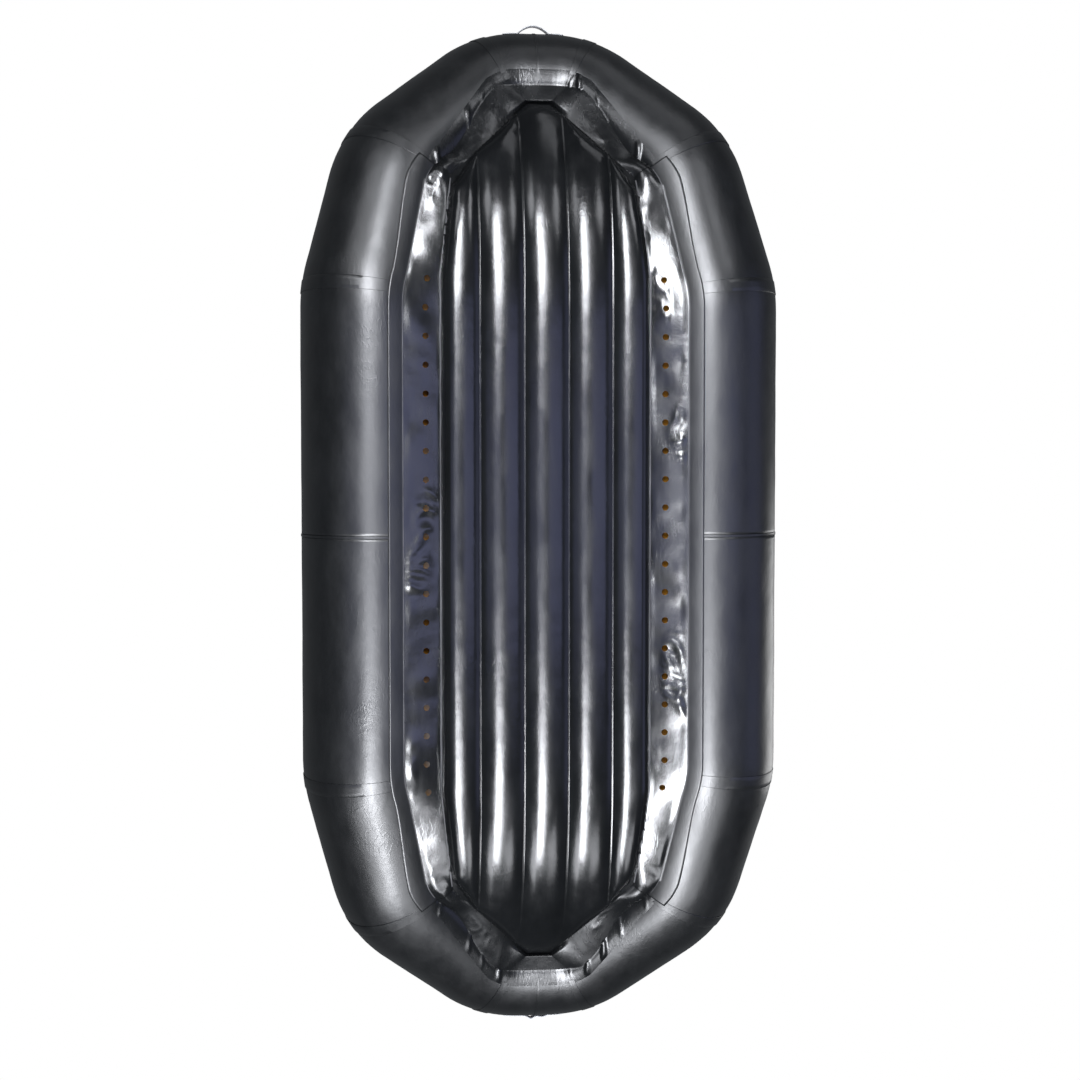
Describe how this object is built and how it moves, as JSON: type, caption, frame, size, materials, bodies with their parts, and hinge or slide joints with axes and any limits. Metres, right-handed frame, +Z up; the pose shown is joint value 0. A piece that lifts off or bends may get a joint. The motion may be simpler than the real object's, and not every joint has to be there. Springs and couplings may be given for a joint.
{
  "type": "self-bailing raft",
  "caption": "Self-bailing inflatable river raft: upturned ring of tubes, chambered floor hung on perforated drain flaps, thwarts, capped air valves, D-rings and webbing carry handles.",
  "frame": {"origin": "middle of the raft on the ground plane under its side tubes", "axes": "+Y towards the bow, +X towards starboard, +Z up"},
  "size_m": [1.98, 4.3266, 0.8],
  "materials": {
    "tube_fabric": "gloss",
    "black_fabric": "gloss",
    "yellow_fabric": "gloss",
    "black_plastic": "satin",
    "webbing": "woven",
    "steel": "polished"
  },
  "bodies": {
    "hull": {"aft_thwart": "yellow_fabric", "aft_thwart_valve_body": "black_plastic", "bow_baffle": "black_fabric", "bow_flap": "black_fabric", "bow_handle": "webbing", "bow_nose": "tube_fabric", "floor_bottom_skin": "black_fabric", "floor_relief_valve": "black_plastic", "floor_top_skin": "black_fabric", "floor_valve_body": "black_plastic", "fore_thwart": "yellow_fabric", "fore_thwart_valve_body": "black_plastic", "port_aft_d_ring_anchor": "webbing", "port_aft_side": "tube_fabric", "port_baffle": "black_fabric", "port_bow_angle": "tube_fabric", "port_bow_quarter": "tube_fabric", "port_bow_valve_body": "black_plastic", "port_drain_flap": "black_fabric", "port_fore_d_ring_anchor": "webbing", "port_fore_side": "tube_fabric", "port_inner_floor_web": "black_fabric", "port_outer_floor_web": "black_fabric", "port_stern_angle": "tube_fabric", "port_stern_quarter": "tube_fabric", "port_stern_valve_body": "black_plastic", "starboard_aft_d_ring_anchor": "webbing", "starboard_aft_side": "tube_fabric", "starboard_baffle": "black_fabric", "starboard_bow_angle": "tube_fabric", "starboard_bow_quarter": "tube_fabric", "starboard_bow_valve_body": "black_plastic", "starboard_drain_flap": "black_fabric", "starboard_fore_d_ring_anchor": "webbing", "starboard_fore_side": "tube_fabric", "starboard_inner_floor_web": "black_fabric", "starboard_outer_floor_web": "black_fabric", "starboard_stern_angle": "tube_fabric", "starboard_stern_quarter": "tube_fabric", "starboard_stern_valve_body": "black_plastic", "stern_baffle": "black_fabric", "stern_flap": "black_fabric", "stern_handle": "webbing", "stern_nose": "tube_fabric"},
    "aft_thwart_valve_cap": {"aft_thwart_valve_cap": "black_plastic"},
    "floor_valve_cap": {"floor_valve_cap": "black_plastic"},
    "fore_thwart_valve_cap": {"fore_thwart_valve_cap": "black_plastic"},
    "port_bow_valve_cap": {"port_bow_valve_cap": "black_plastic"},
    "port_stern_valve_cap": {"port_stern_valve_cap": "black_plastic"},
    "starboard_bow_valve_cap": {"starboard_bow_valve_cap": "black_plastic"},
    "starboard_stern_valve_cap": {"starboard_stern_valve_cap": "black_plastic"},
    "floor_valve_poppet": {"floor_valve_poppet": "black_plastic"},
    "port_bow_valve_poppet": {"port_bow_valve_poppet": "black_plastic"},
    "port_stern_valve_poppet": {"port_stern_valve_poppet": "black_plastic"},
    "starboard_bow_valve_poppet": {"starboard_bow_valve_poppet": "black_plastic"},
    "starboard_stern_valve_poppet": {"starboard_stern_valve_poppet": "black_plastic"},
    "port_aft_d_ring": {"port_aft_d_ring": "steel"},
    "port_fore_d_ring": {"port_fore_d_ring": "steel"},
    "starboard_aft_d_ring": {"starboard_aft_d_ring": "steel"},
    "starboard_fore_d_ring": {"starboard_fore_d_ring": "steel"}
  },
  "joints": [
    {"name": "aft_thwart_valve_cap_turn", "type": "hinge", "parent": "hull", "child": "aft_thwart_valve_cap", "pos_m": [0.284, -0.37979, 0.47621], "axis": [0, 0.7071, 0.7071], "range_deg": [0, 90]},
    {"name": "floor_valve_cap_turn", "type": "hinge", "parent": "hull", "child": "floor_valve_cap", "pos_m": [0, 0.8, 0.136], "axis": [0, 0, 1], "range_deg": [0, 90]},
    {"name": "fore_thwart_valve_cap_turn", "type": "hinge", "parent": "hull", "child": "fore_thwart_valve_cap", "pos_m": [0.284, 0.37979, 0.47621], "axis": [0, -0.7071, 0.7071], "range_deg": [0, 90]},
    {"name": "port_bow_valve_cap_turn", "type": "hinge", "parent": "hull", "child": "port_bow_valve_cap", "pos_m": [-0.50984, 1.14988, 0.54686], "axis": [0.5445, -0.2564, 0.7986], "range_deg": [0, 90]},
    {"name": "port_stern_valve_cap_turn", "type": "hinge", "parent": "hull", "child": "port_stern_valve_cap", "pos_m": [-0.50984, -1.14988, 0.54686], "axis": [0.5445, 0.2564, 0.7986], "range_deg": [0, 90]},
    {"name": "starboard_bow_valve_cap_turn", "type": "hinge", "parent": "hull", "child": "starboard_bow_valve_cap", "pos_m": [0.50984, 1.14988, 0.54686], "axis": [-0.5445, -0.2564, 0.7986], "range_deg": [0, 90]},
    {"name": "starboard_stern_valve_cap_turn", "type": "hinge", "parent": "hull", "child": "starboard_stern_valve_cap", "pos_m": [0.50984, -1.14988, 0.54686], "axis": [-0.5445, 0.2564, 0.7986], "range_deg": [0, 90]},
    {"name": "floor_valve_poppet_press", "type": "slide", "parent": "hull", "child": "floor_valve_poppet", "axis": [0, 0, -1], "range_m": [0, 0.004], "stiffness_N_per_m": 500, "springref_m": -0.003},
    {"name": "port_bow_valve_poppet_press", "type": "slide", "parent": "hull", "child": "port_bow_valve_poppet", "axis": [-0.5445, 0.2564, -0.7986], "range_m": [0, 0.004], "stiffness_N_per_m": 500, "springref_m": -0.003},
    {"name": "port_stern_valve_poppet_press", "type": "slide", "parent": "hull", "child": "port_stern_valve_poppet", "axis": [-0.5445, -0.2564, -0.7986], "range_m": [0, 0.004], "stiffness_N_per_m": 500, "springref_m": -0.003},
    {"name": "starboard_bow_valve_poppet_press", "type": "slide", "parent": "hull", "child": "starboard_bow_valve_poppet", "axis": [0.5445, 0.2564, -0.7986], "range_m": [0, 0.004], "stiffness_N_per_m": 500, "springref_m": -0.003},
    {"name": "starboard_stern_valve_poppet_press", "type": "slide", "parent": "hull", "child": "starboard_stern_valve_poppet", "axis": [0.5445, -0.2564, -0.7986], "range_m": [0, 0.004], "stiffness_N_per_m": 500, "springref_m": -0.003},
    {"name": "port_aft_d_ring_swing", "type": "hinge", "parent": "hull", "child": "port_aft_d_ring", "pos_m": [-0.79875, -0.8, 0.55314], "axis": [0, 1, 0], "range_deg": [0, 180]},
    {"name": "port_fore_d_ring_swing", "type": "hinge", "parent": "hull", "child": "port_fore_d_ring", "pos_m": [-0.79875, 0.8, 0.55314], "axis": [0, 1, 0], "range_deg": [0, 180]},
    {"name": "starboard_aft_d_ring_swing", "type": "hinge", "parent": "hull", "child": "starboard_aft_d_ring", "pos_m": [0.79875, -0.8, 0.55314], "axis": [0, -1, 0], "range_deg": [0, 180]},
    {"name": "starboard_fore_d_ring_swing", "type": "hinge", "parent": "hull", "child": "starboard_fore_d_ring", "pos_m": [0.79875, 0.8, 0.55314], "axis": [0, -1, 0], "range_deg": [0, 180]}
  ]
}
